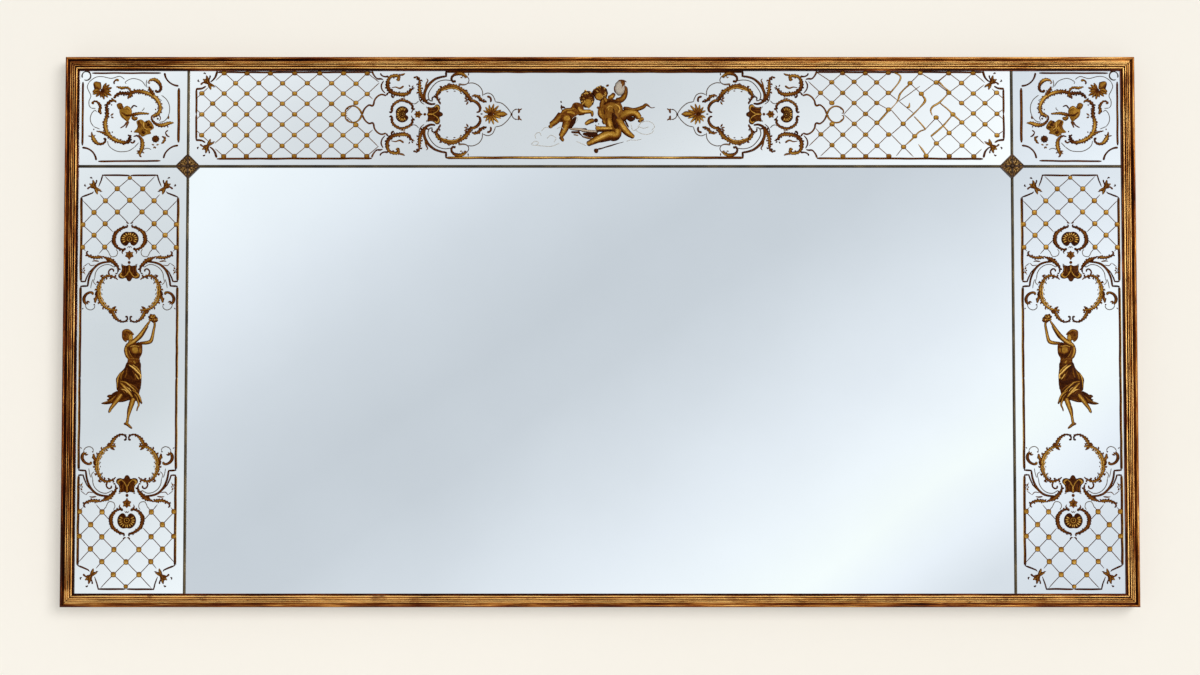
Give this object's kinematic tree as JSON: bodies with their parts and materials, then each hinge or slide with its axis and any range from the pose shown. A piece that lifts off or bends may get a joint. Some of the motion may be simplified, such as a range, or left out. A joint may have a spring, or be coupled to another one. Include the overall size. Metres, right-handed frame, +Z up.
{
  "type": "overmantel mirror",
  "caption": "Wide wall mirror in a slim reeded gilt frame, with a painted border of mirror plates parted by brass bars and rosettes, hung by two D rings.",
  "frame": {"origin": "centre of the frame's outline, on the wall plane that the bumpers' back faces touch", "axes": "+Z up, -Y the way the mirror faces, +X to the right as one looks at it"},
  "size_m": [1.53, 0.035, 0.785],
  "materials": {
    "gilt_moulding": "aged water gilding over red bole, worn and toned",
    "mirror_glass": "silvered behind, faintly blue, slightly aged",
    "gilt_painting": "gold leaf and umber painted on the glass, slightly raised and worn",
    "bar_brass": "dark toned brass",
    "rosette_brass": "cast, dark toned with rubbed gold relief",
    "back_wood": "bare aged softwood",
    "panel_wood": "bare thin boards, aged",
    "felt": "dark pressed wool felt",
    "cork": "pressed cork",
    "steel": "dull plated steel"
  },
  "bodies": {
    "mirror": {"back_bottom_rail": "back_wood", "back_centre_muntin": "back_wood", "back_left_cross_rail": "back_wood", "back_left_muntin": "back_wood", "back_left_stile": "back_wood", "back_middle_cross_rail": "back_wood", "back_right_cross_rail": "back_wood", "back_right_muntin": "back_wood", "back_right_stile": "back_wood", "back_top_rail": "back_wood", "felt_packing": "felt", "frame_bottom_rail": "gilt_moulding", "frame_left_stile": "gilt_moulding", "frame_right_stile": "gilt_moulding", "frame_top_rail": "gilt_moulding", "frieze_back_panel": "panel_wood", "frieze_dividing_bar": "bar_brass", "frieze_mirror_plate": "mirror_glass", "hanger_screws": "steel", "left_corner_back_panel": "panel_wood", "left_corner_mirror_plate": "mirror_glass", "left_hanger_strap": "steel", "left_outer_dividing_bar": "bar_brass", "left_rosette": "rosette_brass", "left_side_back_panel": "panel_wood", "left_side_mirror_plate": "mirror_glass", "lower_left_dividing_bar": "bar_brass", "lower_right_dividing_bar": "bar_brass", "main_left_back_panel": "panel_wood", "main_mirror_plate": "mirror_glass", "main_right_back_panel": "panel_wood", "mitre_keys": "back_wood", "retaining_plate_screws": "steel", "retaining_plates": "steel", "right_corner_back_panel": "panel_wood", "right_corner_mirror_plate": "mirror_glass", "right_hanger_strap": "steel", "right_outer_dividing_bar": "bar_brass", "right_rosette": "rosette_brass", "right_side_back_panel": "panel_wood", "right_side_mirror_plate": "mirror_glass", "rosette_nuts": "steel", "rosette_washers": "steel", "setting_blocks": "cork", "upper_left_dividing_bar": "bar_brass", "upper_right_dividing_bar": "bar_brass", "wall_bumpers": "cork"},
    "left_ring": {"left_hanger_ring": "steel"},
    "right_ring": {"right_hanger_ring": "steel"}
  },
  "joints": [
    {"name": "left_ring_swing", "type": "hinge", "parent": "mirror", "child": "left_ring", "pos_m": [-0.7275, -0.0036, 0.262], "axis": [1, 0, 0], "range_deg": [0, 180]},
    {"name": "right_ring_swing", "type": "hinge", "parent": "mirror", "child": "right_ring", "pos_m": [0.7275, -0.0036, 0.262], "axis": [1, 0, 0], "range_deg": [0, 180]}
  ]
}
